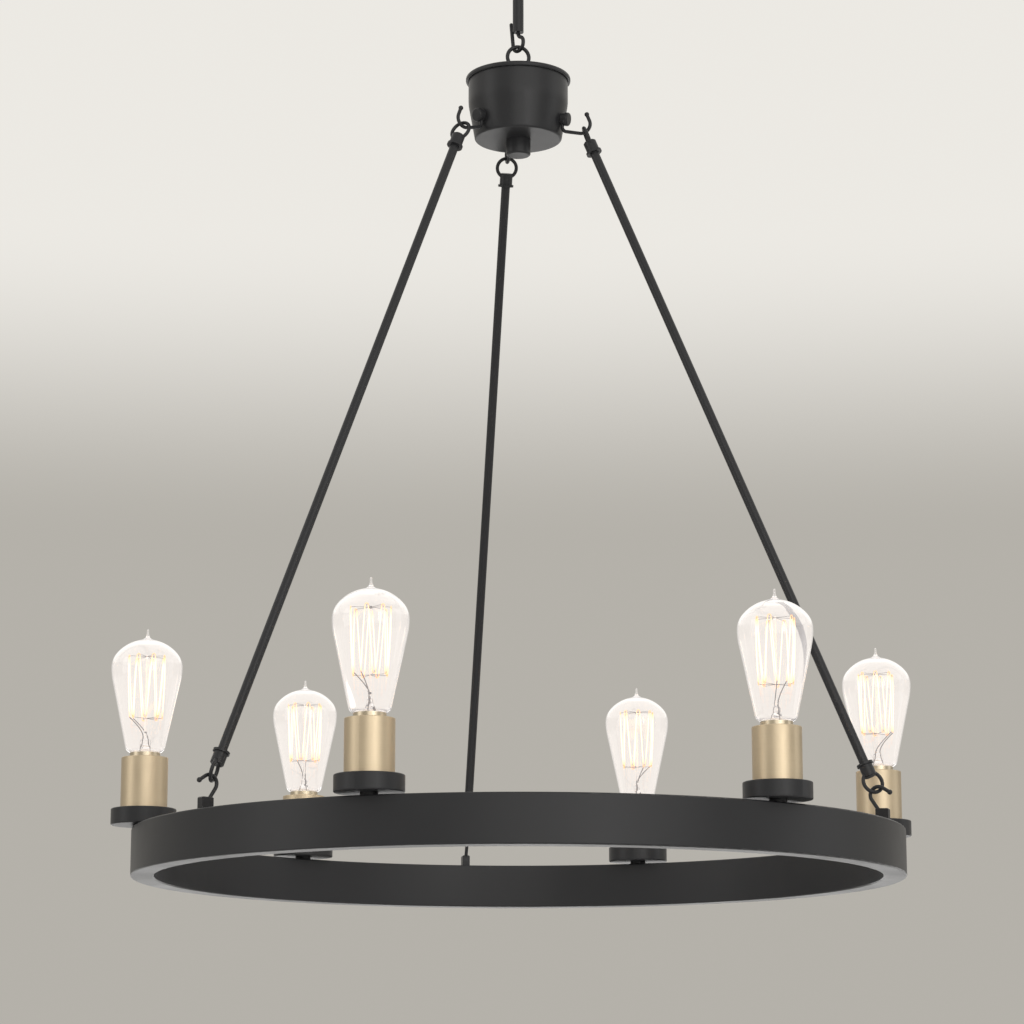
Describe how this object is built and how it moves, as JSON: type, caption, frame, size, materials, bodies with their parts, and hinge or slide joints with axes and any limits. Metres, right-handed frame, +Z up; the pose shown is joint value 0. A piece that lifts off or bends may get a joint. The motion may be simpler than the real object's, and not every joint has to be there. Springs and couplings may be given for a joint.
{
  "type": "ring chandelier",
  "caption": "Ring chandelier: a rectangular-tube hoop hung by hooked rods from a tapered hub, a stem and a ceiling canopy, with upright lamps in brass cups on discs.",
  "frame": {"origin": "centre of the crossbar's screw pattern in the ceiling plane, on the lamp's axis", "axes": "+Z up into the ceiling, +X along the crossbar, +Y towards the rear rod"},
  "size_m": [0.711, 0.67, 0.9761],
  "materials": {
    "black_paint": "satin",
    "zinc_steel": "zinc plated",
    "earth_brass": "green dyed",
    "satin_brass": "satin antique",
    "holder_black": "moulded",
    "contact_brass": "plain",
    "lamp_glass": "clear",
    "lamp_base": "lacquered",
    "filament": "lit filament wire"
  },
  "bodies": {
    "canopy": {"crossbar": "zinc_steel", "earth_screw": "earth_brass", "canopy_nipple": "zinc_steel", "canopy_nut": "zinc_steel", "canopy_shell": "black_paint", "canopy_collar": "black_paint", "canopy_loop": "black_paint"},
    "stem": {"stem_tube": "black_paint", "stem_upper_hook": "black_paint", "stem_lower_hook": "black_paint"},
    "hub": {"hub_loop": "black_paint", "hub_lid": "black_paint", "hub_shell": "black_paint", "hub_boss": "black_paint", "hub_nipple": "zinc_steel", "hub_nuts": "zinc_steel", "hub_hooks": "black_paint", "hub_knobs": "black_paint", "knob_nuts": "zinc_steel"},
    "ring": {"ring_tube": "black_paint", "ring_lugs": "black_paint", "ring_hooks": "black_paint", "socket_feet": "black_paint", "socket_discs": "black_paint", "socket_cups": "satin_brass", "lampholders": "holder_black", "screw_shells": "contact_brass", "centre_contacts": "contact_brass", "socket_nipples": "zinc_steel", "socket_nuts": "zinc_steel"},
    "rod_rear": {"rod_tube_rear": "black_paint", "rod_top_end_rear": "black_paint", "rod_bottom_end_rear": "black_paint"},
    "rod_left": {"rod_tube_left": "black_paint", "rod_top_end_left": "black_paint", "rod_bottom_end_left": "black_paint"},
    "rod_right": {"rod_tube_right": "black_paint", "rod_top_end_right": "black_paint", "rod_bottom_end_right": "black_paint"},
    "lamp_1": {"bulb_glass_1": "lamp_glass", "bulb_base_1": "lamp_base", "bulb_filament_1": "filament"},
    "lamp_2": {"bulb_glass_2": "lamp_glass", "bulb_base_2": "lamp_base", "bulb_filament_2": "filament"},
    "lamp_3": {"bulb_glass_3": "lamp_glass", "bulb_base_3": "lamp_base", "bulb_filament_3": "filament"},
    "lamp_4": {"bulb_glass_4": "lamp_glass", "bulb_base_4": "lamp_base", "bulb_filament_4": "filament"},
    "lamp_5": {"bulb_glass_5": "lamp_glass", "bulb_base_5": "lamp_base", "bulb_filament_5": "filament"},
    "lamp_6": {"bulb_glass_6": "lamp_glass", "bulb_base_6": "lamp_base", "bulb_filament_6": "filament"}
  },
  "joints": [
    {"name": "stem_swing", "type": "hinge", "parent": "canopy", "child": "stem", "pos_m": [0, 0, -0.0618], "axis": [0, 1, 0], "range_deg": [-20, 20]},
    {"name": "hub_swing", "type": "hinge", "parent": "stem", "child": "hub", "pos_m": [0, 0, -0.2138], "axis": [1, 0, 0], "range_deg": [-20, 20]},
    {"name": "ring_twist", "type": "hinge", "parent": "hub", "child": "ring", "pos_m": [0, 0, -0.9361], "axis": [0, 0, 1], "range_deg": [-6, 6], "stiffness_Nm_per_rad": 1.9},
    {"name": "rod_swing_rear", "type": "hinge", "parent": "hub", "child": "rod_rear", "pos_m": [0, 0.0634, -0.3003], "axis": [0, 0, 1], "range_deg": [-7.6, 7.6]},
    {"name": "rod_swing_left", "type": "hinge", "parent": "hub", "child": "rod_left", "pos_m": [-0.05491, -0.0317, -0.3003], "axis": [0, 0, 1], "range_deg": [-7.6, 7.6]},
    {"name": "rod_swing_right", "type": "hinge", "parent": "hub", "child": "rod_right", "pos_m": [0.05491, -0.0317, -0.3003], "axis": [0, 0, 1], "range_deg": [-7.6, 7.6]},
    {"name": "lamp_turn_1", "type": "hinge", "parent": "ring", "child": "lamp_1", "pos_m": [0.325, 0, -0.8756], "axis": [0, 0, 1], "range_deg": [0, 1080]},
    {"name": "lamp_turn_2", "type": "hinge", "parent": "ring", "child": "lamp_2", "pos_m": [0.1625, 0.28146, -0.8756], "axis": [0, 0, 1], "range_deg": [0, 1080]},
    {"name": "lamp_turn_3", "type": "hinge", "parent": "ring", "child": "lamp_3", "pos_m": [-0.1625, 0.28146, -0.8756], "axis": [0, 0, 1], "range_deg": [0, 1080]},
    {"name": "lamp_turn_4", "type": "hinge", "parent": "ring", "child": "lamp_4", "pos_m": [-0.325, 0, -0.8756], "axis": [0, 0, 1], "range_deg": [0, 1080]},
    {"name": "lamp_turn_5", "type": "hinge", "parent": "ring", "child": "lamp_5", "pos_m": [-0.1625, -0.28146, -0.8756], "axis": [0, 0, 1], "range_deg": [0, 1080]},
    {"name": "lamp_turn_6", "type": "hinge", "parent": "ring", "child": "lamp_6", "pos_m": [0.1625, -0.28146, -0.8756], "axis": [0, 0, 1], "range_deg": [0, 1080]}
  ],
  "couplings": [
    {"joint": "rod_swing_rear", "follows": "ring_twist", "ratio": 1.2463},
    {"joint": "rod_swing_left", "follows": "ring_twist", "ratio": 1.2463},
    {"joint": "rod_swing_right", "follows": "ring_twist", "ratio": 1.2463}
  ]
}
